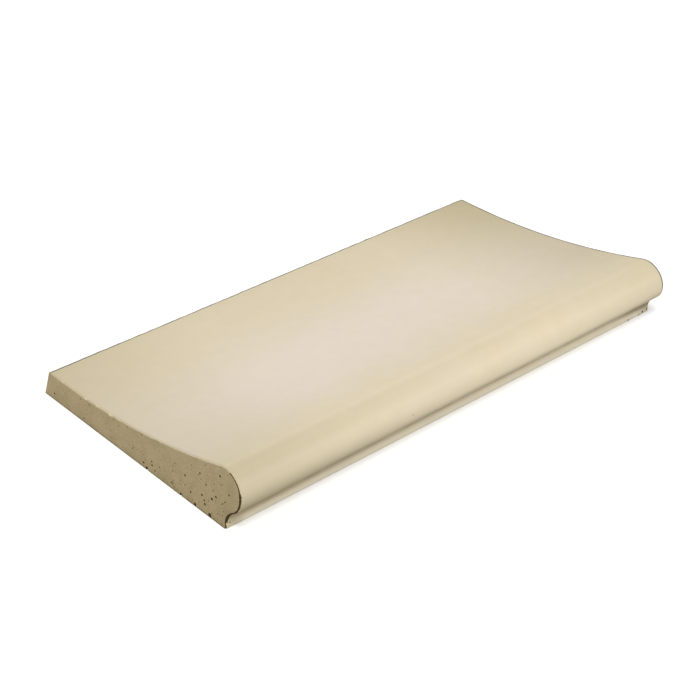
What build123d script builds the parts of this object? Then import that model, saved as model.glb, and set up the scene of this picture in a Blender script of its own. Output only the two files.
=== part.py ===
# Pool coping stone with a dished top, a full round nose and a finger recess under it.
#
# It is one piece of wet-cast concrete, so it is one solid. Its section is the same from end to
# end: a level strip behind, a shallow dish that climbs to the crest, a round nose that hangs out
# over the pool, a hollow cove under the nose, and a short upright lip that stands on the pool wall.
# The back and both ends lean in towards the top, as the mould needs to let the stone go.
#
# Millimetres. X runs along the pool edge, -Y points to the water, +Z is up.
# The origin is in the plane of the bedding face, under the middle of the stone.

from build123d import *
from math import atan2, cos, degrees, radians, sin, tan
import os

# Overall sizes
stone_length = 500.0  # along the pool edge, at the bedding face
bed_depth = 255.0  # from the lip's face to the back edge, at the bedding face
back_thickness = 23.5  # at the level strip
crest_height = 54.5  # top of the nose above the bedding face

# Top
level_strip_depth = 28.0  # from the back edge of the bed to where the dish begins

# Nose and lip
nose_radius = 20.0
nose_overhang = 16.5  # from the lip's face out to the front of the nose
lip_height = 4.0  # upright part of the lip, below the cove

# Mould draft
back_splay_angle = 15.0  # degrees that the back leans in
end_draft_angle = 4.5  # degrees that each end leans in

# Worn edges
arris_radius = 1.2  # on every edge of the ends and back that the mould made


def front_of(depth_from_back):
    """Y of a point that lies this far in front of the back edge of the bed."""
    overall_depth = bed_depth + nose_overhang
    return overall_depth / 2 - depth_from_back


def touching_point(centre_a, radius_a, centre_b, radius_b):
    """Point where two circles touch from outside."""
    return centre_a + (centre_b - centre_a) * (radius_a / (radius_a + radius_b))


def arc_between(centre, radius, start, middle_angle, end):
    """Arc from start to end that passes the given angle, in degrees, on its circle."""
    middle = centre + Vector(cos(radians(middle_angle)), sin(radians(middle_angle))) * radius
    return ThreePointArc(start, middle, end)


def angle_on(centre, point):
    """Direction of a point seen from a centre, in degrees."""
    return degrees(atan2(point.Y - centre.Y, point.X - centre.X))


def stone_section():
    """Outline across the stone, with Y to the right and Z up."""
    lip_face = front_of(bed_depth)
    nose_front = front_of(bed_depth + nose_overhang)
    nose_centre = Vector(nose_front + nose_radius, crest_height - nose_radius)

    # The dish is tangent to the level strip where it begins and to the nose where it ends.
    dish_start = Vector(front_of(level_strip_depth), back_thickness)
    from_nose = dish_start - nose_centre
    dish_radius = (from_nose.X**2 + from_nose.Y**2 - nose_radius**2) / (
        2 * (nose_radius - from_nose.Y)
    )
    dish_centre = dish_start + Vector(0, dish_radius)
    dish_end = touching_point(nose_centre, nose_radius, dish_centre, dish_radius)

    # The cove is tangent to the lip's face at the top of its upright part, and to the nose.
    lip_inset = nose_centre.X - lip_face
    cove_drop = nose_centre.Y - lip_height
    cove_radius = (lip_inset**2 + cove_drop**2 - nose_radius**2) / (2 * (nose_radius - lip_inset))
    cove_centre = Vector(lip_face - cove_radius, lip_height)
    cove_end = touching_point(nose_centre, nose_radius, cove_centre, cove_radius)

    lip_foot = Vector(lip_face, 0)
    lip_top = Vector(lip_face, lip_height)
    back_foot = Vector(front_of(0), 0)
    back_top = Vector(front_of(back_thickness * tan(radians(back_splay_angle))), back_thickness)

    cove_middle = angle_on(cove_centre, cove_end) / 2
    dish_middle = (-90 + angle_on(dish_centre, dish_end)) / 2
    with BuildSketch(Plane.YZ) as section:
        with BuildLine():
            Line(back_foot, lip_foot)
            Line(lip_foot, lip_top)
            arc_between(cove_centre, cove_radius, lip_top, cove_middle, cove_end)
            arc_between(nose_centre, nose_radius, cove_end, 180, dish_end)
            arc_between(dish_centre, dish_radius, dish_end, dish_middle, dish_start)
            Line(dish_start, back_top)
            Line(back_top, back_foot)
        make_face()
    return section.sketch


def mould_end_planes():
    """Block whose ends carry the mould's draft. The stone is what lies inside it."""
    block_height = crest_height + nose_radius
    lean = block_height * tan(radians(end_draft_angle))
    half = stone_length / 2
    with BuildSketch(Plane.XZ) as side:
        Polygon(
            (-half, 0), (half, 0), (half - lean, block_height), (-half + lean, block_height), align=None
        )
    return extrude(side.sketch, bed_depth + nose_overhang, both=True)


def moulded_edges(stone):
    """Edges round both ends and along the top of the back, without those of the bedding face."""
    ends = [stone.faces().sort_by(Axis.X)[0], stone.faces().sort_by(Axis.X)[-1]]
    back = stone.faces().sort_by(Axis.Y)[-1]
    edges = ends[0].edges() + ends[1].edges() + back.edges()
    return [edge for edge in edges if edge.bounding_box().max.Z > arris_radius / 2]


def coping_stone():
    """The cast stone as it leaves the mould, with its edges a little worn."""
    run = extrude(stone_section(), stone_length / 2, both=True)
    cast = run & mould_end_planes()
    return fillet(moulded_edges(cast), arris_radius)


stone = coping_stone()
stone.label = "coping_stone"
os.makedirs("parts", exist_ok=True)
export_step(stone, "parts/coping_stone.step")
print("volume", round(stone.volume), "mm3, box", stone.bounding_box().size)
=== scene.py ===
# Pool coping stone, wet-cast in a mould: the finished stone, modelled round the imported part.
# Metres, in the part's own frame: +X runs along the pool edge, -Y points to the water, +Z is up.
import math
import random

import bmesh
import bpy
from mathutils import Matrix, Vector


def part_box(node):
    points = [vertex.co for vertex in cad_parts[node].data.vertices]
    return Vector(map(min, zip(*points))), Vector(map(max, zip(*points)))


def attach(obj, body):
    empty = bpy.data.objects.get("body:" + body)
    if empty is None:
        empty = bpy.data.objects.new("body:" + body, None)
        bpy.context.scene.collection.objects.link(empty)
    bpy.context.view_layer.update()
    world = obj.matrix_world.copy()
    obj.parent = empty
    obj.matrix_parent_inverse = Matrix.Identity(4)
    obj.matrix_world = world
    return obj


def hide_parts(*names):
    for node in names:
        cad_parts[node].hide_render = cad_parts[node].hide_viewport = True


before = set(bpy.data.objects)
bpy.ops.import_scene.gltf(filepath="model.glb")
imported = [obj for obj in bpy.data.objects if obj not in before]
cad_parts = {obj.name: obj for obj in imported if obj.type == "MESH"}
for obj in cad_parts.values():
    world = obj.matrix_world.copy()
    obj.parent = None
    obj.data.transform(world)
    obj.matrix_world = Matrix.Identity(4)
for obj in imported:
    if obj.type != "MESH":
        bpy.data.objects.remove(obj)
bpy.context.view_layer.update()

mm = 0.001
mergeDistance = 0.01 * mm
weldDistance = 0.002 * mm  # after the cuts, whose own edges are short
touching = 0.1 * mm  # closer than this counts as lying on a face
low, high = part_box("coping_stone")
print("frame loaded, the stone is", [round(size / mm, 1) for size in high - low], "mm")

# What a mould maker would change, in millimetres and degrees
castStone = {
    "bedDepth": 255.0,  # from the lip's face to the back edge
    "backThickness": 23.5,
    "levelStrip": 28.0,  # behind the dish
    "noseRadius": 20.0,
    "lipHeight": 4.0,  # upright part under the cove
    "backSplay": 15.0,
    "endDraft": 4.5,
    "arris": 1.2,  # rounding that the mould and some wear leave
    "knockedCorner": 4.5,  # the back corner of the far end, rounded by handling
    "arcStep": 1.2,  # facet length on the nose and the cove
    "dishStep": 2.6,
    "flatStep": 3.5,  # facet length elsewhere
    "endStrip": 8.0,  # the cross cuts stop this far from both ends
    "endRim": 0.8,  # strip round each end face
    "cutsAlong": 139,
    "smoothBelow": 38.0,  # edges flatter than this are shaded smooth
}


def lengthOf(name):
    return castStone[name] * mm


endLean = math.tan(math.radians(castStone["endDraft"]))
backLean = math.tan(math.radians(castStone["backSplay"]))


# Key places of the section. The dish touches the level strip and the nose, the cove touches the nose
# and the lip.
def measureSection():
    noseRadius = lengthOf("noseRadius")
    lipFace = high.y - lengthOf("bedDepth")
    noseCentre = Vector((0, low.y + noseRadius, high.z - noseRadius))
    dishStart = Vector((0, high.y - lengthOf("levelStrip"), lengthOf("backThickness")))
    reach = dishStart - noseCentre
    dishRadius = (reach.length_squared - noseRadius**2) / (2 * (noseRadius - reach.z))
    dishCentre = dishStart + Vector((0, 0, dishRadius))
    lipInset = noseCentre.y - lipFace
    coveDrop = noseCentre.z - lengthOf("lipHeight")
    coveRadius = (lipInset**2 + coveDrop**2 - noseRadius**2) / (2 * (noseRadius - lipInset))
    coveCentre = Vector((0, lipFace - coveRadius, lengthOf("lipHeight")))
    toNose = noseCentre - coveCentre
    toDish = dishCentre - noseCentre
    return {
        "lipFace": lipFace,
        "noseRadius": noseRadius,
        "noseCentre": noseCentre,
        "coveRadius": coveRadius,
        "coveCentre": coveCentre,
        "coveTurn": math.atan2(toNose.z, toNose.y),
        "dishRadius": dishRadius,
        "dishCentre": dishCentre,
        "dishStart": dishStart,
        "crestAngle": math.atan2(toDish.z, toDish.y),
        "backTop": Vector((0, high.y - lengthOf("backThickness") * backLean, lengthOf("backThickness"))),
    }


section = measureSection()


# Height of the top surface over a place on the bed
def topHeight(y):
    if y > section["dishStart"].y:
        return section["backTop"].z
    crestY = section["noseCentre"].y + section["noseRadius"] * math.cos(section["crestAngle"])
    if y > crestY:
        away = y - section["dishCentre"].y
        return section["dishCentre"].z - math.sqrt(section["dishRadius"] ** 2 - away**2)
    away = min(abs(y - section["noseCentre"].y), section["noseRadius"])
    return section["noseCentre"].z + math.sqrt(section["noseRadius"] ** 2 - away**2)


# sRGB hex to the linear colour that a shader wants
def hexColour(text):
    parts = [int(text[i : i + 2], 16) / 255 for i in (0, 2, 4)]
    linear = [p / 12.92 if p <= 0.04045 else ((p + 0.055) / 1.055) ** 2.4 for p in parts]
    return (*linear, 1.0)


# Kinds of node that come often, and their usual settings
mathNode = "ShaderNodeMath"
noiseNode = "ShaderNodeTexNoise"
rangeNode = "ShaderNodeMapRange"
mixNode = "ShaderNodeMix"
softStep = {"interpolation_type": "SMOOTHSTEP"}
colours = {"data_type": "RGBA"}  # then the factor goes in at 0 and the colours at 6 and 7
multiply = {"operation": "MULTIPLY"}
multiplyAdd = {"operation": "MULTIPLY_ADD"}
clampedAdd = {**multiplyAdd, "use_clamp": True}
plus = {"operation": "ADD"}
minus = {"operation": "SUBTRACT"}
smaller = {"operation": "MINIMUM"}
larger = {"operation": "MAXIMUM"}


# Adds one node. Settings go on the node, and an input takes a value, an output or a node's first output.
def addNode(tree, kind, settings=None, inputs=None):
    node = tree.nodes.new(kind)
    for name, value in (settings or {}).items():
        setattr(node, name, value)
    for name, value in (inputs or {}).items():
        if isinstance(value, bpy.types.Node):
            value = next(output for output in value.outputs if output.enabled)
        if isinstance(value, bpy.types.NodeSocket):
            tree.links.new(value, node.inputs[name])
        else:
            node.inputs[name].default_value = value
    return node


def selectOnly(obj):
    bpy.ops.object.select_all(action="DESELECT")
    obj.select_set(True)
    bpy.context.view_layer.objects.active = obj


def editMode(on):
    bpy.ops.object.mode_set(mode="EDIT" if on else "OBJECT")


def applyModifier(obj, kind, settings):
    selectOnly(obj)
    modifier = obj.modifiers.new(kind.title(), kind)
    for name, value in settings.items():
        setattr(modifier, name, value)
    bpy.ops.object.modifier_apply(modifier=modifier.name)


# Selects the edges or faces that pass a test, in edit mode
def selectWhere(obj, part, test):
    bpy.ops.mesh.select_mode(type=part)
    bpy.ops.mesh.select_all(action="DESELECT")
    mesh = bmesh.from_edit_mesh(obj.data)
    for item in mesh.edges if part == "EDGE" else mesh.faces:
        if test(item):
            item.select_set(True)
    bmesh.update_edit_mesh(obj.data)


# A single vertex in edit mode, from a plane whose corners are merged
def startLine(name, place):
    bpy.ops.object.select_all(action="DESELECT")
    bpy.ops.mesh.primitive_plane_add(size=mm, location=place)
    line = bpy.context.object
    line.name = name
    bpy.ops.object.transform_apply(location=True, rotation=True, scale=True)
    editMode(True)
    bpy.ops.mesh.select_mode(type="VERT")
    bpy.ops.mesh.merge(type="CENTER")
    return line


# Draws on in a straight line from the last vertex
def drawStraight(offset, count=1):
    for _ in range(count):
        bpy.ops.mesh.extrude_vertices_move(TRANSFORM_OT_translate={"value": offset / count})


# Draws on round a centre. Spin counts its angle the other way, so its axis is turned.
def drawArc(centre, radius, angle, step, x):
    count = max(2, round(abs(angle) * radius / step))
    bpy.ops.mesh.spin(steps=count, angle=angle, center=(x, centre.y, centre.z), axis=(-1, 0, 0))


# From the foot of the lip, up through the cove and round the nose
def drawFront(x, step, noseTurn, inset=0.0):
    lipHeight = lengthOf("lipHeight")
    drawStraight(Vector((0, 0, lipHeight)), round(lipHeight / step))
    drawArc(section["coveCentre"], section["coveRadius"] + inset, section["coveTurn"], step, x)
    drawArc(section["noseCentre"], section["noseRadius"] - inset, -noseTurn, step, x)


# How far a point lies inside the nearer end, measured along X
def insideEnd(point):
    return high.x - abs(point.x) - point.z * endLean


# How far a point lies inside the back, measured along Y
def insideBack(point):
    return high.y - point.y - point.z * backLean


# The upright edge between the back and the far end
def isFarCorner(edge):
    start, stop = [vertex.co for vertex in edge.verts]
    upright = abs(start.z - stop.z) > 0.5 * edge.calc_length()
    return upright and all(
        point.x > 0 and insideEnd(point) < touching and insideBack(point) < touching
        for point in (start, stop)
    )


# Faces of both ends, of the back and of the rounded corner
def isWall(face):
    return abs(face.normal.x) > 0.05 or (face.normal.y > 0.5 and abs(face.normal.z) < 0.5)


# Edges round the walls. The bed's own edges stay sharp.
def isArris(edge):
    if all(vertex.co.z < touching for vertex in edge.verts):
        return False
    first, second = [isWall(face) for face in edge.link_faces]
    return first != second or (first and edge.calc_face_angle() > math.radians(45))


# The whole face of an end, far larger than any face of its arris
def isEndFace(face):
    return abs(face.normal.x) > 0.99 and face.calc_area() > 1000 * mm**2


# Cuts the flat faces that pass a test into rows that run along the stone
def cutRows(stone, test, start, stop):
    count = round((stop - start).length / lengthOf("flatStep"))
    for number in range(1, count):
        selectWhere(stone, "FACE", test)
        bpy.ops.mesh.bisect(plane_co=start.lerp(stop, number / count), plane_no=stop - start)


# The whole section, extruded past both ends, cut off by the drafted planes of the mould and cut
# across into a regular net
def modelStoneBody():
    margin = 10 * mm
    longEdge = 300 * mm  # only edges that run along the stone are longer
    startX = low.x - margin
    stone = startLine("cast_coping_stone", (startX, section["lipFace"], 0))
    noseTurn = math.pi + section["coveTurn"] - section["crestAngle"]
    drawFront(startX, lengthOf("arcStep"), noseTurn)
    dishTurn = math.pi / 2 - section["crestAngle"]
    drawArc(section["dishCentre"], section["dishRadius"], dishTurn, lengthOf("dishStep"), startX)
    backFoot, lipFoot = Vector((0, high.y, 0)), Vector((0, section["lipFace"], 0))
    drawStraight(section["backTop"] - section["dishStart"])
    drawStraight(backFoot - section["backTop"])
    drawStraight(lipFoot - backFoot)
    bpy.ops.mesh.select_all(action="SELECT")
    bpy.ops.mesh.remove_doubles(threshold=mergeDistance)
    bpy.ops.mesh.edge_face_add()
    reach = high.x - low.x + 2 * margin
    bpy.ops.mesh.extrude_region_move(TRANSFORM_OT_translate={"value": (reach, 0, 0)})
    for endX, outward in ((low.x, -1), (high.x, 1)):
        bpy.ops.mesh.select_all(action="SELECT")
        bpy.ops.mesh.bisect(
            plane_co=(endX, 0, 0), plane_no=(outward, 0, endLean), use_fill=True, clear_outer=True
        )
    bpy.ops.mesh.select_all(action="SELECT")
    bpy.ops.mesh.normals_make_consistent(inside=False)
    selectWhere(stone, "EDGE", isFarCorner)
    bpy.ops.mesh.bevel(offset=lengthOf("knockedCorner"), segments=5)
    selectWhere(stone, "EDGE", isArris)
    bpy.ops.mesh.bevel(offset=lengthOf("arris"), segments=4, clamp_overlap=False)
    selectWhere(stone, "FACE", isEndFace)
    bpy.ops.mesh.inset(thickness=lengthOf("endRim"))
    cutRows(stone, lambda face: face.normal.z < -0.99, backFoot, lipFoot)
    cutRows(stone, lambda face: face.normal.y > 0.9, section["backTop"], backFoot)
    cutRows(stone, lambda face: face.normal.z > 0.9999, section["dishStart"], section["backTop"])
    for endX in (low.x + lengthOf("endStrip"), high.x - lengthOf("endStrip")):
        bpy.ops.mesh.select_all(action="SELECT")
        bpy.ops.mesh.bisect(plane_co=(endX, 0, 0), plane_no=(1, 0, 0))
    selectWhere(stone, "EDGE", lambda edge: edge.calc_length() > longEdge)
    bpy.ops.mesh.subdivide(number_cuts=castStone["cutsAlong"], quadcorner="STRAIGHT_CUT")
    bpy.ops.mesh.select_all(action="SELECT")
    bpy.ops.mesh.normals_make_consistent(inside=False)
    editMode(False)
    print("stone body modelled")
    return stone


def smoothStep(value, start, stop):
    share = min(max((value - start) / (stop - start), 0.0), 1.0)
    return share * share * (3 - 2 * share)


# How far the real stone departs from the mould's shape
wear = {
    # area: deepest hollow and grain in millimetres, and how fine the pattern gets
    "castSkin": (0.25, 90.0, 2),
    "wornArris": (1.1, 8.0, 3),
    "struckBed": (0.7, 12.0, 4),
    "skinFade": (2.0, 14.0),  # from the ends, where the skin starts to wander
    "footFade": 8.0,  # and from the foot
    "noseShare": 0.35,  # of the arris wear that the nose gets
    "noseFade": 15.0,  # behind the nose, until the wear is full
    "rimShare": 0.3,  # of the bed's roughness at its rim
    "rimFade": 8.0,
}


def skinWeight(point):
    start, stop = wear["skinFade"]
    offFoot = smoothStep(point.z, 0, wear["footFade"] * mm)
    return smoothStep(insideEnd(point), start * mm, stop * mm) * offFoot


def arrisWeight(point):
    arris = lengthOf("arris")
    onArris = 0.02 * arris < insideEnd(point) < 0.98 * arris
    onBackArris = insideBack(point) < 1.5 * arris and point.z > section["backTop"].z - 1.5 * arris
    if not (onArris or onBackArris):
        return 0.0
    noseY = section["noseCentre"].y
    behindNose = smoothStep(point.y, noseY, noseY + wear["noseFade"] * mm)
    share = wear["noseShare"] + (1 - wear["noseShare"]) * behindNose
    return smoothStep(point.z, 0, 2 * arris) * share


def bedWeight(point):
    if point.z > 0.5 * touching:
        return 0.0
    inside = min(insideEnd(point), insideBack(point), point.y - section["lipFace"])
    return wear["rimShare"] + (1 - wear["rimShare"]) * smoothStep(inside, 0, wear["rimFade"] * mm)


# Pushes one area of the stone inwards by a cloud pattern, never out past the mould's shape
def roughen(stone, name, weightOf):
    depth, grain, fineness = wear[name]
    group = stone.vertex_groups.new(name=name)
    for vertex in stone.data.vertices:
        weight = weightOf(vertex.co)
        if weight > 0:
            group.add([vertex.index], weight, "REPLACE")
    clouds = bpy.data.textures.new(name, "CLOUDS")
    clouds.noise_scale = grain * mm
    clouds.noise_depth = fineness
    applyModifier(stone, "DISPLACE", {
        "texture": clouds, "texture_coords": "LOCAL", "direction": "NORMAL", "mid_level": 1.0,
        "strength": depth * mm, "vertex_group": group.name,
    })
    print("roughened:", name)


# Air holes on the near end, listed one by one: distance behind the lip's face, height and radius in mm
airHoles = {
    "leftEnd": [
        (239, 6.5, 1.0), (194, 4.0, 0.7), (108, 4.8, 1.1), (97, 11.5, 0.9), (96.5, 8.2, 1.0),
        (103.5, 1.6, 1.7), (92.5, 5.0, 0.9), (69.5, 5.8, 1.5), (66.5, 3.8, 0.8), (68.5, 17.5, 0.7),
        (57.5, 1.4, 1.5), (52.5, 22, 1.0), (45, 10.5, 1.0), (39, 2.0, 1.6), (33.5, 34, 0.9),
        (30.5, 15.5, 1.1), (26.5, 9.0, 1.2), (27.5, 12.2, 0.9), (25.5, 27.5, 0.8), (20, 2.4, 1.9),
        (18, 18.5, 1.3), (13, 23, 1.0), (8.5, 44.5, 1.0), (6, 38, 0.6), (1.5, 24.5, 0.8),
        (-3, 33.5, 0.9), (10, 9, 0.6), (-16.3, 38, 1.7), (199, 20.5, 0.6), (186, 21, 0.7),
        (150, 24.5, 0.6), (131, 27, 0.6), (111, 29.5, 0.6),
    ],
    "front": [  # x, y, z and radius: round the foot of the lip and in the nose
        (-245.6, -119.3, 5.0, 0.65), (221, -119.3, 0.9, 0.9), (236, -119.3, 0.8, 0.7),
        (241, -119.4, 2.2, 1.0), (246.5, -119.5, 3.4, 0.9), (239, -121.5, 11.5, 0.7),
        (245, -120.6, 9.5, 0.8), (-68.7, -135.5, 33.4, 0.5), (-3.4, -131.6, 47.4, 0.4),
    ],
    "smallCount": 75,  # more of them, strewn over each end
    "smallRadius": (0.28, 0.6),
    "largeCount": 26,  # on the far end only, where no photograph says
    "largeRadius": (0.7, 1.5),
    "reach": (-18, 180),  # behind the lip's face, where strewn ones lie
    "densest": 10,
    "heightSpread": 17,
    "offOutline": 2.5,  # least distance from the end's outline
    "spacing": 0.6,  # least wall between two holes
    "lumpiness": 0.35,
    "seed": 11,
}


# A lumpy ball that stands for one air bubble or one chip
def modelBubble(name, lumpiness, seed):
    bpy.ops.object.select_all(action="DESELECT")
    bpy.ops.mesh.primitive_ico_sphere_add(subdivisions=3, radius=1.0, location=(0, 0, 0))
    bubble = bpy.context.object
    bubble.name = name
    lumps = bpy.data.textures.new(name, "CLOUDS")
    lumps.noise_scale = 0.9 + 0.1 * seed
    applyModifier(bubble, "DISPLACE", {"texture": lumps, "strength": lumpiness, "mid_level": 0.5})
    applyModifier(bubble, "DECIMATE", {"ratio": 0.35})  # there are hundreds of copies
    return bubble


# Copies a bubble to each place and joins the copies to one cutter
def strewBubbles(name, bubbles, places, material):
    turn = random.Random(airHoles["seed"] + len(places))
    copies = []
    for number, (place, radius, stretch) in enumerate(places):
        copy = bubbles[number % len(bubbles)].copy()
        copy.data = copy.data.copy()
        copy.location = place
        copy.rotation_euler = (0, 0, 0) if stretch else [turn.uniform(0, math.tau) for _ in range(3)]
        copy.scale = [radius * factor for factor in stretch or (1, 1, 1)]
        bpy.context.scene.collection.objects.link(copy)
        copies.append(copy)
    bpy.ops.object.select_all(action="DESELECT")
    for copy in copies:
        copy.select_set(True)
    bpy.context.view_layer.objects.active = copies[0]
    bpy.ops.object.join()
    bpy.ops.object.transform_apply(location=True, rotation=True, scale=True)
    cutter = bpy.context.object
    cutter.name = name
    cutter.data.materials.clear()
    cutter.data.materials.append(material)
    return cutter


def cutAway(stone, cutter):
    applyModifier(stone, "BOOLEAN", {
        "operation": "DIFFERENCE", "object": cutter, "solver": "EXACT", "material_mode": "TRANSFER",
    })
    bpy.data.objects.remove(cutter)


# Point on an end face of the stone
def onEnd(side, behindLip, height):
    return Vector((side * (high.x - height * endLean), section["lipFace"] + behindLip, height))


# Is this place on the end face well inside its outline?
def isOnEnd(behindLip, height, margin):
    y = section["lipFace"] + behindLip
    if height > topHeight(y) - margin or height < 0:
        return False
    if behindLip > margin:
        return y < high.y - height * backLean - margin
    away = Vector((0, y, height)) - section["noseCentre"]
    return away.length < section["noseRadius"] - margin


# Adds holes at random until there are enough, each clear of the others
def strewOnEnd(places, side, count, radii, draw):
    mostTries = 6000
    spacing = airHoles["spacing"] * mm
    wanted = len(places) + count
    for _ in range(mostTries):
        if len(places) == wanted:
            return
        behindLip = draw.triangular(*airHoles["reach"], airHoles["densest"]) * mm
        height = abs(draw.gauss(0, airHoles["heightSpread"])) * mm
        radius = draw.uniform(*radii) * mm
        if not isOnEnd(behindLip, height, airHoles["offOutline"] * mm):
            continue
        centre = onEnd(side, behindLip, height)
        if all((centre - other).length > radius + size + spacing for other, size, _ in places):
            places.append((centre, radius, None))


def cutAirHoles(stone, material):
    draw = random.Random(airHoles["seed"])
    bubbles = [modelBubble("bubble", airHoles["lumpiness"], seed) for seed in range(3)]
    places = []
    for behindLip, height, radius in airHoles["leftEnd"]:
        places.append((onEnd(-1, behindLip * mm, height * mm), radius * mm, None))
    for x, y, z, radius in airHoles["front"]:
        places.append((Vector((x, y, z)) * mm, radius * mm, None))
    strewOnEnd(places, -1, airHoles["smallCount"], airHoles["smallRadius"], draw)
    strewOnEnd(places, 1, airHoles["largeCount"], airHoles["largeRadius"], draw)
    strewOnEnd(places, 1, airHoles["smallCount"], airHoles["smallRadius"], draw)
    cutAway(stone, strewBubbles("air_hole_cutter", bubbles, places, material))
    for bubble in bubbles:
        bpy.data.objects.remove(bubble)
    print("air holes cut:", len(places))


# The dark ragged line along the arris of the nose, cove and lip
openArris = {
    "noseTurn": 128.0,  # degrees of the nose that it follows
    "inset": 0.35,  # from both faces, in millimetres
    "radii": (  # by height
        (0, 0.9), (4, 0.8), (7, 1.4), (14, 1.45), (19, 1.25), (23, 1.0), (37, 0.9), (44, 0.6),
        (55, 0.45),
    ),
    "step": 1.1,
    "raggedness": 0.25,
    "belowFoot": 1.0,  # how far the cutter starts below the foot
    "seed": 7,
}


# Reads between the entries of a table, given as pairs in rising order
def tableValue(table, place):
    for (start, first), (stop, last) in zip(table, table[1:]):
        if place <= stop:
            return first + (last - first) * max(0.0, place - start) / (stop - start)
    return table[-1][1]


def openFrontArris(stone, side, material):
    endX = side * high.x
    inset = openArris["inset"] * mm
    belowFoot = openArris["belowFoot"] * mm
    line = startLine("open_arris_cutter", (endX, section["lipFace"] + inset, -belowFoot))
    drawStraight(Vector((0, 0, belowFoot)))
    drawFront(endX, openArris["step"] * mm, math.radians(openArris["noseTurn"]), inset)
    bpy.ops.mesh.select_all(action="SELECT")
    bpy.ops.mesh.remove_doubles(threshold=mergeDistance)
    editMode(False)
    for vertex in line.data.vertices:
        vertex.co.x -= side * (vertex.co.z * endLean + inset)
    bpy.ops.object.convert(target="CURVE")
    draw = random.Random(openArris["seed"] + side)
    line.data.bevel_depth = mm  # times each point's own radius
    line.data.bevel_resolution = 2
    line.data.use_fill_caps = True
    for point in line.data.splines[0].points:
        radius = tableValue(openArris["radii"], point.co.z / mm)
        point.radius = radius * draw.uniform(1 - openArris["raggedness"], 1 + openArris["raggedness"])
    bpy.ops.object.convert(target="MESH")
    cutter = bpy.context.object
    editMode(True)
    bpy.ops.mesh.select_all(action="SELECT")
    bpy.ops.mesh.remove_doubles(threshold=mergeDistance)
    bpy.ops.mesh.normals_make_consistent(inside=False)
    editMode(False)
    cutter.data.materials.clear()
    cutter.data.materials.append(material)
    cutAway(stone, cutter)
    print("front arris opened on the", "near" if side < 0 else "far", "end")


# Small bites out of the arrises, where stones knock together
chips = {
    "leftEnd": [  # distance behind the lip's face, and radius
        (156, 2.7), (175, 2.2), (192, 2.5), (144, 2.1), (119, 1.8), (228, 2.0), (86, 1.6), (60, 1.6),
    ],
    "front": [(-248.1, -119.3, 4.6, 1.3), (227.2, -129.9, 49.1, 0.6)],  # x, y, z and radius
    "rightCount": 9,
    "rightReach": (5, 233),  # behind the lip's face
    "backCount": 8,
    "radius": (0.8, 1.7),
    "stretch": 2.0,  # along the arris
    "squeeze": 0.8,  # across it
    "nearRise": 0.3,  # centre above the arris, as a share of the radius
    "farRise": 0.35,
    "lumpiness": 0.8,
    "seed": 5,
}


def cutChips(stone, material):
    stretch, squeeze = chips["stretch"], chips["squeeze"]
    alongEnd, alongBack = (squeeze, stretch, squeeze), (stretch, squeeze, squeeze)
    nearRise, farRise = chips["nearRise"], chips["farRise"]
    draw = random.Random(chips["seed"])
    places = []
    for behindLip, radius in chips["leftEnd"]:
        y = section["lipFace"] + behindLip * mm
        height = topHeight(y) + nearRise * radius * mm
        places.append((onEnd(-1, behindLip * mm, height), radius * mm, alongEnd))
    for x, y, z, radius in chips["front"]:
        places.append((Vector((x, y, z)) * mm, radius * mm, None))
    start, stop = chips["rightReach"]
    for number in range(chips["rightCount"]):
        share = (number + draw.uniform(0.1, 0.9)) / chips["rightCount"]
        behindLip = (start + (stop - start) * share) * mm
        radius = draw.uniform(*chips["radius"]) * mm
        height = topHeight(section["lipFace"] + behindLip) + farRise * radius
        places.append((onEnd(1, behindLip, height), radius, alongEnd))
    for number in range(chips["backCount"]):
        share = (number + draw.uniform(0.1, 0.9)) / chips["backCount"]
        radius = draw.uniform(*chips["radius"]) * mm
        outside = Vector((low.x + (high.x - low.x) * share, 0.2 * radius, nearRise * radius))
        places.append((section["backTop"] + outside, radius, alongBack))
    bubbles = [modelBubble("chip", chips["lumpiness"], seed) for seed in range(3)]
    cutAway(stone, strewBubbles("chip_cutter", bubbles, places, material))
    for bubble in bubbles:
        bpy.data.objects.remove(bubble)
    print("chips cut:", len(places))


# Tidies the cut mesh, and reports any open edge
def closeMesh(stone):
    selectOnly(stone)
    editMode(True)
    bpy.ops.mesh.select_all(action="SELECT")
    bpy.ops.mesh.remove_doubles(threshold=weldDistance)
    bpy.ops.mesh.dissolve_degenerate(threshold=weldDistance)
    bpy.ops.mesh.normals_make_consistent(inside=False)
    bpy.ops.mesh.select_mode(type="EDGE")
    bpy.ops.mesh.select_all(action="DESELECT")
    bpy.ops.mesh.select_non_manifold()
    openEdges = sum(edge.select for edge in bmesh.from_edit_mesh(stone.data).edges)
    editMode(False)
    bpy.ops.object.shade_smooth_by_angle(angle=math.radians(castStone["smoothBelow"]))
    triangles = sum(len(face.vertices) - 2 for face in stone.data.polygons)
    print("stone mesh:", triangles, "triangles,", openEdges, "open edges")


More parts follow.
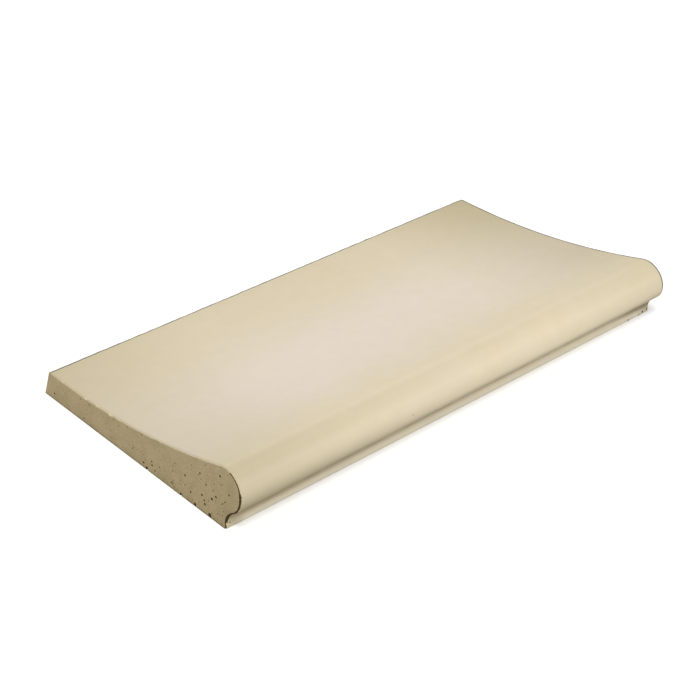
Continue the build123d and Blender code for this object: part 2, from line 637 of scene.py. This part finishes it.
# Concrete poured wet and left to set face down in a smooth mould. The cement skin that forms there is
# even and matt, with slow drifts of tone. The sides are browner and open-grained, and the struck-off
# underside is coarse.
concreteLook = {
    "pinkCream": "E6D9C9",
    "yellowCream": "E4D6B6",
    # painted shade on the skin, also the tone of the streaks along the nose
    "shadeCream": "BDB08E",
    # painted light on the lip, palest at its foot
    "paintedLipLight": "FFF6DE",
    "side": "A89773",
    "sideDark": "9C8C69",
    "paleSand": "D8C99C",
    "bed": "BDB198",
    "noseShadeAndFoot": "5F563B",  # painted shade under the nose, and the darker foot of the walls
    "farArrisShade": "3C4034",  # painted shade along the far arrises
    # stain and painted shade inside the holes and the open arris
    "stainShadeDeep": "2C2010",
    "stainShadePale": "5C4A28",
    "brokenDark": "C2B591",
    "brokenLight": "DFD3B3",
    "driftSize": 90.0,  # millimetres, slow drifts of tone
    "mottleSize": 14.0,
    "fraySize": 3.5,  # how ragged the edge between skin and wall is
    "grainSize": 0.9,  # sand is 0.3 mm, drawn coarser so that it shows
    "streakSize": 16.0,  # across the streaks along the nose
    "stainShadeSize": 2.0,
    "brokenSize": 1.2,
}

# Where each tone starts and where it is full, in millimetres, and its share at both places
toneBands = {
    # along Y
    "nearNose": (-42, -120, 0, 1),
    "nearBack": (-10, 110, 0, 1),
    "farBack": (-20, 150, 0, 0.34),
    "beforeCrest": (-112, -121, 0, 1),
    "byLip": (-95, -125, 0, 0.22),
    # along X
    "farEnd": (90, 290, 0, 0.72),
    "nearEnd": (-90, -290, 0, 0.42),
    "leftOfMiddle": (120, -200, 0, 0.5),
    "farRise": (190, 250, 0, 1),
    "farCoveShade": (205, 245, 0, 0.4),
    "farHalf": (-10, 10, 0, 1),
    # by height
    "lowNose": (42, 26, 0, 1),
    "crest": (45, 51, 0, 0.16),
    "lipLightShare": (9, 2, 0, 1),
    "noseShadeAbove": (6, 12, 0, 0.54),
    "noseShadeBelow": (31, 19, 0, 1),
    "foot": (8, 0.5, 0, 0.15),
    "lowByLip": (50, 10, 0, 1),
    "contact": (2.4, 1.2, 0, 0.6),
    "aboveFoot": (12, 18, 0, 1),
    "nearBed": (1.4, 1.2, 0, 1),
    # by the distance inside the ends and the back
    "arrisShadeBand": (2.6, 1.4, 0, 0.5),
    "offEnds": (2, 22, 0.15, 1),
    "farArrisShadeLine": (3, 2, 0, 1),
    "wall": (0.5, 0, 0, 1),
}

# The same for patterns, by their own level
patternBands = {
    "streaks": (0.45, 0.8, 0, 0.06),
    "sidePatches": (0.3, 0.75, 0, 1),
    "paleGrain": (0.56, 0.68, 0, 0.5),
    "unevenDarkening": (0.25, 0.65, 0.6, 1),
    "brokenArrisShade": (0.35, 0.6, 0.6, 0.95),
    "facingDown": (-0.6, -0.75, 0, 1),
}

# How strongly one tone acts on another
toneShares = {
    "driftWarmth": 0.9,
    "coolStart": -0.35,
    "noseWarmth": 0.7,
    "backWarmth": 0.6,
    "farEndOnNose": -0.6,  # the nose takes less of the far end's shade
    "leftNose": 0.35,
    "streakStretch": 0.03,
    "farRise": 4.0,  # millimetres that the painted shade under the nose creeps down at the far end
    "arrisShadeOnWall": -0.85,
    "fray": -0.7,  # millimetres
    "coarseSand": 0.14,
    "smoothSand": 0.08,
    "mottleTone": 0.08,
}


def perMetre(name):
    return 1 / (concreteLook[name] * mm)


# A band as the inputs of a Map Range node
def between(name):
    start, full, least, most = toneBands[name]
    return {1: start * mm, 2: full * mm, 3: least, 4: most}


def betweenLevels(name):
    start, full, least, most = patternBands[name]
    return {1: start, 2: full, 3: least, 4: most}


# Where a shaded point lies: its place, and how far inside the ends, the back and both. The last one
# follows the rounded corner.
def measurePlace(tree):
    place = addNode(tree, "ShaderNodeTexCoord").outputs["Object"]
    axes = addNode(tree, "ShaderNodeSeparateXYZ", inputs={0: place}).outputs
    fromMiddle = addNode(tree, mathNode, {"operation": "ABSOLUTE"}, {0: axes["X"]})
    leaningX = addNode(tree, mathNode, multiplyAdd, {0: axes["Z"], 1: endLean, 2: fromMiddle})
    endGap = addNode(tree, mathNode, minus, {0: high.x, 1: leaningX})
    leaningY = addNode(tree, mathNode, multiplyAdd, {0: axes["Z"], 1: backLean, 2: axes["Y"]})
    backGap = addNode(tree, mathNode, minus, {0: high.y, 1: leaningY})
    corner = lengthOf("knockedCorner")
    intoEnd = addNode(tree, mathNode, {**minus, "use_clamp": True}, {0: corner, 1: endGap})
    intoBack = addNode(tree, mathNode, {**minus, "use_clamp": True}, {0: corner, 1: backGap})
    into = addNode(tree, "ShaderNodeCombineXYZ", inputs={0: intoEnd, 1: intoBack})
    depth = addNode(tree, "ShaderNodeVectorMath", {"operation": "LENGTH"}, {0: into})
    wallGap = addNode(tree, mathNode, minus, {0: corner, 1: depth})
    return {
        "place": place, "x": axes["X"], "y": axes["Y"], "z": axes["Z"],
        "endGap": endGap, "backGap": backGap, "wallGap": wallGap,
    }


# Smooth skin: pinkish in the dish and yellower towards the nose and the back. Painted shade darkens it
# towards the ends, the back, the crest and the lower left of the nose and along the arris of each end,
# and painted light pales the foot of the lip.
def skinColour(tree, spot, drift):
    share = toneShares
    nearNose = addNode(tree, rangeNode, softStep, {0: spot["y"], **between("nearNose")})
    nearBack = addNode(tree, rangeNode, softStep, {0: spot["y"], **between("nearBack")})
    warm = addNode(tree, mathNode, multiplyAdd, {
        0: drift, 1: share["driftWarmth"], 2: share["coolStart"],
    })
    warm = addNode(tree, mathNode, multiplyAdd, {0: nearNose, 1: share["noseWarmth"], 2: warm})
    warm = addNode(tree, mathNode, clampedAdd, {0: nearBack, 1: share["backWarmth"], 2: warm})
    skin = addNode(tree, mixNode, colours, {
        0: warm, 6: hexColour(concreteLook["pinkCream"]), 7: hexColour(concreteLook["yellowCream"]),
    })

    # painted shade: darker towards both ends and the back, on the crest and on the lower left of the
    # nose
    farBack = addNode(tree, rangeNode, softStep, {0: spot["y"], **between("farBack")})
    farEnd = addNode(tree, rangeNode, softStep, {0: spot["x"], **between("farEnd")})
    farEndShare = addNode(tree, mathNode, multiplyAdd, {0: nearNose, 1: share["farEndOnNose"], 2: 1.0})
    nearEnd = addNode(tree, rangeNode, softStep, {0: spot["x"], **between("nearEnd")})
    lowNose = addNode(tree, rangeNode, softStep, {0: spot["z"], **between("lowNose")})
    lowNose = addNode(tree, mathNode, multiply, {0: lowNose, 1: nearNose})
    leftOfMiddle = addNode(tree, rangeNode, softStep, {0: spot["x"], **between("leftOfMiddle")})
    crest = addNode(tree, rangeNode, softStep, {0: spot["z"], **between("crest")})
    beforeCrest = addNode(tree, rangeNode, softStep, {0: spot["y"], **between("beforeCrest")})
    leftNose = addNode(tree, mathNode, multiply, {0: leftOfMiddle, 1: share["leftNose"]})
    dull = addNode(tree, mathNode, multiplyAdd, {0: lowNose, 1: leftOfMiddle, 2: farBack})
    dull = addNode(tree, mathNode, multiplyAdd, {0: farEnd, 1: farEndShare, 2: dull})
    dull = addNode(tree, mathNode, multiplyAdd, {0: crest, 1: beforeCrest, 2: dull})
    dull = addNode(tree, mathNode, multiplyAdd, {0: leftNose, 1: beforeCrest, 2: dull})
    dull = addNode(tree, mathNode, plus, {0: dull, 1: nearEnd})
    stretched = addNode(tree, "ShaderNodeMapping", inputs={
        "Vector": spot["place"], "Scale": (share["streakStretch"], 1, 1),
    })
    streak = addNode(tree, noiseNode, inputs={"Vector": stretched, "Scale": perMetre("streakSize")})
    streakShade = addNode(tree, rangeNode, softStep, {0: streak, **betweenLevels("streaks")})
    dull = addNode(tree, mathNode, clampedAdd, {0: streakShade, 1: nearNose, 2: dull})
    shade = hexColour(concreteLook["shadeCream"])
    skin = addNode(tree, mixNode, colours, {0: dull, 6: skin, 7: shade})
    # painted shade along the rounded arris of each end
    arrisShadeBand = addNode(tree, rangeNode, softStep, {0: spot["endGap"], **between("arrisShadeBand")})
    skin = addNode(tree, mixNode, colours, {0: arrisShadeBand, 6: skin, 7: shade})

    # painted light, paler towards the foot of the lip, kept off its ends
    lipLightShare = addNode(tree, rangeNode, softStep, {0: spot["z"], **between("lipLightShare")})
    offEnds = addNode(tree, rangeNode, softStep, {0: spot["endGap"], **between("offEnds")})
    lipLightShare = addNode(tree, mathNode, multiply, {0: lipLightShare, 1: offEnds})
    return addNode(tree, mixNode, colours, {0: lipLightShare, 6: skin, 7: hexColour(concreteLook["paintedLipLight"])})


# Painted shade under the nose, and a darker tone round the foot of the walls and by the lip
def noseShadeAndFootShare(tree, spot, wallMask, mottle):
    lipFace = section["lipFace"]
    # painted shade under the nose, creeping further down the cove at the far end
    farRise = addNode(tree, rangeNode, inputs={0: spot["x"], **between("farRise")})
    rise = toneShares["farRise"] * mm
    raised = addNode(tree, mathNode, multiplyAdd, {0: farRise, 1: rise, 2: spot["z"]})
    above = addNode(tree, rangeNode, softStep, {0: raised, **between("noseShadeAbove")})
    farCoveShade = addNode(tree, rangeNode, inputs={0: spot["x"], **between("farCoveShade")})
    above = addNode(tree, mathNode, multiplyAdd, {0: above, 1: farCoveShade, 2: above})
    below = addNode(tree, rangeNode, softStep, {0: spot["z"], **between("noseShadeBelow")})
    front = addNode(tree, rangeNode, inputs={0: spot["y"], 1: lipFace + mm, 2: lipFace})
    offWall = addNode(tree, mathNode, multiplyAdd, {0: wallMask, 1: -1.0, 2: 1.0})
    underNose = addNode(tree, mathNode, multiply, {0: above, 1: below})
    underNose = addNode(tree, mathNode, multiply, {0: underNose, 1: front})
    underNose = addNode(tree, mathNode, multiply, {0: underNose, 1: offWall})

    # darker towards the foot of the walls and by the lip
    foot = addNode(tree, rangeNode, softStep, {0: spot["z"], **between("foot")})
    byLip = addNode(tree, rangeNode, softStep, {0: spot["y"], **between("byLip")})
    lowByLip = addNode(tree, rangeNode, softStep, {0: spot["z"], **between("lowByLip")})
    wall = addNode(tree, mathNode, multiplyAdd, {0: byLip, 1: lowByLip, 2: foot})
    contact = addNode(tree, rangeNode, softStep, {0: spot["z"], **between("contact")})
    wall = addNode(tree, mathNode, larger, {0: wall, 1: contact})
    wall = addNode(tree, mathNode, multiply, {0: wall, 1: wallMask})

    share = addNode(tree, mathNode, larger, {0: underNose, 1: wall})
    uneven = addNode(tree, rangeNode, softStep, {0: mottle, **betweenLevels("unevenDarkening")})
    return addNode(tree, mathNode, multiply, {0: share, 1: uneven})


# A thin dark line of painted shade along the arrises of the far end and the back, which turn away from
# the light
def farArrisShadeShare(tree, spot, wallMask, mottle):
    farHalf = addNode(tree, rangeNode, inputs={0: spot["x"], **between("farHalf")})
    nearHalf = addNode(tree, mathNode, multiplyAdd, {0: farHalf, 1: -1.0, 2: 1.0})
    farEndGap = addNode(tree, mathNode, plus, {0: spot["endGap"], 1: nearHalf})
    farGap = addNode(tree, mathNode, smaller, {0: farEndGap, 1: spot["backGap"]})
    line = addNode(tree, rangeNode, softStep, {0: farGap, **between("farArrisShadeLine")})
    aboveFoot = addNode(tree, rangeNode, softStep, {0: spot["z"], **between("aboveFoot")})
    line = addNode(tree, mathNode, multiply, {0: line, 1: aboveFoot})
    broken = addNode(tree, rangeNode, softStep, {0: mottle, **betweenLevels("brokenArrisShade")})
    line = addNode(tree, mathNode, multiply, {0: line, 1: broken})
    offWall = addNode(tree, mathNode, multiplyAdd, {0: wallMask, 1: toneShares["arrisShadeOnWall"], 2: 1.0})
    return addNode(tree, mathNode, multiply, {0: line, 1: offWall})


def wetCastConcrete():
    material = bpy.data.materials.new("wetCastConcrete")
    material.use_nodes = True
    tree = material.node_tree
    tree.nodes.clear()
    spot = measurePlace(tree)
    drift = addNode(tree, noiseNode, inputs={
        "Vector": spot["place"], "Scale": perMetre("driftSize"), "Detail": 3.0, "Roughness": 0.55,
    })
    mottle = addNode(tree, noiseNode, inputs={
        "Vector": spot["place"], "Scale": perMetre("mottleSize"), "Detail": 4.0, "Roughness": 0.6,
    })
    grain = addNode(tree, noiseNode, inputs={
        "Vector": spot["place"], "Scale": perMetre("grainSize"), "Detail": 3.0, "Roughness": 0.65,
    })
    fray = addNode(tree, noiseNode, inputs={
        "Vector": spot["place"], "Scale": perMetre("fraySize"), "Detail": 3.0,
    })
    frayedGap = addNode(tree, mathNode, multiplyAdd, {
        0: fray, 1: toneShares["fray"] * mm, 2: spot["wallGap"],
    })
    wallMask = addNode(tree, rangeNode, softStep, {0: frayedGap, **between("wall")})
    nearBed = addNode(tree, rangeNode, inputs={0: spot["z"], **between("nearBed")})
    normal = addNode(tree, "ShaderNodeNewGeometry").outputs["True Normal"]
    facing = addNode(tree, "ShaderNodeSeparateXYZ", inputs={0: normal}).outputs["Z"]
    bedMask = addNode(tree, rangeNode, inputs={0: facing, **betweenLevels("facingDown")})
    bedMask = addNode(tree, mathNode, multiply, {0: bedMask, 1: nearBed})
    coarse = addNode(tree, mathNode, larger, {0: wallMask, 1: bedMask})

    patches = addNode(tree, rangeNode, softStep, {0: mottle, **betweenLevels("sidePatches")})
    side = addNode(tree, mixNode, colours, {
        0: patches, 6: hexColour(concreteLook["side"]), 7: hexColour(concreteLook["sideDark"]),
    })
    paleGrain = addNode(tree, rangeNode, softStep, {0: grain, **betweenLevels("paleGrain")})
    paleSand = hexColour(concreteLook["paleSand"])
    side = addNode(tree, mixNode, colours, {0: paleGrain, 6: side, 7: paleSand})
    skin = skinColour(tree, spot, drift)
    colour = addNode(tree, mixNode, colours, {0: wallMask, 6: skin, 7: side})
    colour = addNode(tree, mixNode, colours, {0: bedMask, 6: colour, 7: hexColour(concreteLook["bed"])})
    # painted shade under the nose, and the darker foot of the walls
    noseShadeAndFoot = noseShadeAndFootShare(tree, spot, wallMask, mottle)
    colour = addNode(tree, mixNode, colours, {0: noseShadeAndFoot, 6: colour, 7: hexColour(concreteLook["noseShadeAndFoot"])})
    # painted shade along the far arrises
    farArrisShade = farArrisShadeShare(tree, spot, wallMask, mottle)
    colour = addNode(tree, mixNode, colours, {0: farArrisShade, 6: colour, 7: hexColour(concreteLook["farArrisShade"])})

    # sand grains and mottling lighten and darken all of it a little
    sandShare = addNode(tree, mathNode, multiplyAdd, {
        0: coarse, 1: toneShares["coarseSand"], 2: toneShares["smoothSand"],
    })
    sand = addNode(tree, mathNode, multiply, {0: grain, 1: sandShare})
    mottleTone = toneShares["mottleTone"]
    dark = addNode(tree, mathNode, multiplyAdd, {0: sandShare, 1: -0.5, 2: 1 - 0.5 * mottleTone})
    tone = addNode(tree, mathNode, multiplyAdd, {0: mottle, 1: mottleTone, 2: dark})
    tone = addNode(tree, mathNode, plus, {0: tone, 1: sand})
    shade = addNode(tree, "ShaderNodeCombineColor", inputs={0: tone, 1: tone, 2: tone})
    colour = addNode(tree, mixNode, {**colours, "blend_type": "MULTIPLY"}, {0: 1.0, 6: colour, 7: shade})

    roughness = addNode(tree, mathNode, multiplyAdd, {0: coarse, 1: 0.12, 2: 0.8})
    relief = addNode(tree, mathNode, multiplyAdd, {0: coarse, 1: 0.75, 2: 0.25})
    height = addNode(tree, mathNode, multiply, {0: grain, 1: relief})
    bump = addNode(tree, "ShaderNodeBump", inputs={
        "Strength": 0.5, "Distance": 0.15 * mm, "Height": height,
    })
    shader = addNode(tree, "ShaderNodeBsdfPrincipled", inputs={
        "Base Color": colour, "Roughness": roughness, "IOR": 1.5, "Specular IOR Level": 0.3,
        "Normal": bump,
    })
    addNode(tree, "ShaderNodeOutputMaterial", inputs={0: shader})
    return material


# Concrete of one kind all over, between two tones
def plainConcrete(name, dark, light, patches):
    material = bpy.data.materials.new(name)
    material.use_nodes = True
    tree = material.node_tree
    tree.nodes.clear()
    place = addNode(tree, "ShaderNodeTexCoord").outputs["Object"]
    noise = addNode(tree, noiseNode, inputs={"Vector": place, "Scale": perMetre(patches)})
    tone = addNode(tree, mixNode, colours, {
        0: noise, 6: hexColour(concreteLook[dark]), 7: hexColour(concreteLook[light]),
    })
    shader = addNode(tree, "ShaderNodeBsdfPrincipled", inputs={
        "Base Color": tone, "Roughness": 0.9, "Specular IOR Level": 0.3,
    })
    addNode(tree, "ShaderNodeOutputMaterial", inputs={0: shader})
    return material


# The inside of an air hole or an open arris: the same concrete, darkened by what collects there and by
# painted shade
def stainedAndShadedConcrete():
    return plainConcrete("stainedAndShadedConcrete", "stainShadeDeep", "stainShadePale", "stainShadeSize")


# Fresh broken concrete in a chip: paler and sandier than the skin
def brokenConcrete():
    return plainConcrete("brokenConcrete", "brokenDark", "brokenLight", "brokenSize")


# Plain level of light: on a surface that faces up, a colour renders about as it is written
studio = {
    "skyLevel": 0.53,
    "keyLevel": 0.53,  # what the key adds on a surface that faces it
    "keyFrom": (-0.28, -0.37, 0.885),
    "keyWidth": 15.0,  # degrees, which sets how soft the shadows are
    "floorTone": 0.95,  # the paper as it lights the stone
    "floorSeen": 0.7,  # the paper as the camera sees it, which sets how deep the shadow reads
    "floorGlow": 0.43,  # seen by the camera only, so that the floor reads as white
    "floorSize": 12.0,
}


# The photograph's viewpoint, worked out from the stone's corners and outline
viewpoint = {
    "azimuth": -41.4,
    "elevation": 32.0,
    "distance": 1474.0,
    "aim": (-23.3, -6.7, 16.5),
    "lens": 85.9,
}


def addCamera():
    azimuth, elevation = math.radians(viewpoint["azimuth"]), math.radians(viewpoint["elevation"])
    level = math.cos(elevation)
    back = Vector((math.sin(azimuth) * level, -math.cos(azimuth) * level, math.sin(elevation)))
    aim = Vector(viewpoint["aim"]) * mm
    bpy.ops.object.camera_add(location=aim + back * viewpoint["distance"] * mm)
    camera = bpy.context.object
    camera.rotation_euler = back.to_track_quat("Z", "Y").to_euler()
    camera.data.lens = viewpoint["lens"]
    camera.data.clip_start = 0.01
    bpy.context.scene.camera = camera


def addStudio():
    world = bpy.data.worlds.new("studio")
    bpy.context.scene.world = world
    world.use_nodes = True
    tree = world.node_tree
    tree.nodes.clear()
    path = addNode(tree, "ShaderNodeLightPath").outputs
    seen = addNode(tree, mathNode, larger, {0: path["Is Camera Ray"], 1: path["Is Glossy Ray"]})
    level = addNode(tree, rangeNode, inputs={0: seen, 3: studio["skyLevel"], 4: 1.0})
    sky = addNode(tree, "ShaderNodeBackground", inputs={0: (1, 1, 1, 1), 1: level})
    addNode(tree, "ShaderNodeOutputWorld", inputs={0: sky})

    toKey = Vector(studio["keyFrom"]).normalized()
    bpy.ops.object.light_add(type="SUN", location=toKey)
    key = bpy.context.object
    key.rotation_euler = toKey.to_track_quat("Z", "Y").to_euler()
    key.data.angle = math.radians(studio["keyWidth"])
    key.data.energy = studio["keyLevel"] * math.pi

    bpy.ops.mesh.primitive_plane_add(size=studio["floorSize"], location=(0, 0, 0))
    floor = bpy.context.object
    floor.name = "studio_floor"
    paper = bpy.data.materials.new("mattWhitePaper")
    paper.use_nodes = True
    tree = paper.node_tree
    tree.nodes.clear()
    path = addNode(tree, "ShaderNodeLightPath").outputs
    seen = addNode(tree, mathNode, larger, {0: path["Is Camera Ray"], 1: path["Is Glossy Ray"]})
    tone = addNode(tree, rangeNode, inputs={0: seen, 3: studio["floorTone"], 4: studio["floorSeen"]})
    matt = addNode(tree, "ShaderNodeBsdfDiffuse", inputs={0: tone})
    glow = addNode(tree, mathNode, multiply, {0: seen, 1: studio["floorGlow"]})
    light = addNode(tree, "ShaderNodeEmission", inputs={0: (1, 1, 1, 1), 1: glow})
    both = addNode(tree, "ShaderNodeAddShader", inputs={0: matt, 1: light})
    addNode(tree, "ShaderNodeOutputMaterial", inputs={0: both})
    floor.data.materials.append(paper)


stone = modelStoneBody()
roughen(stone, "castSkin", skinWeight)
roughen(stone, "wornArris", arrisWeight)
roughen(stone, "struckBed", bedWeight)
stone.data.materials.append(wetCastConcrete())
stainedAndShaded = stainedAndShadedConcrete()
for side in (-1, 1):
    openFrontArris(stone, side, stainedAndShaded)
cutChips(stone, brokenConcrete())
cutAirHoles(stone, stainedAndShaded)
closeMesh(stone)
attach(stone, "root")
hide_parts("coping_stone")

addStudio()
addCamera()
bpy.context.scene.view_settings.view_transform = "Standard"
print("studio and camera set")
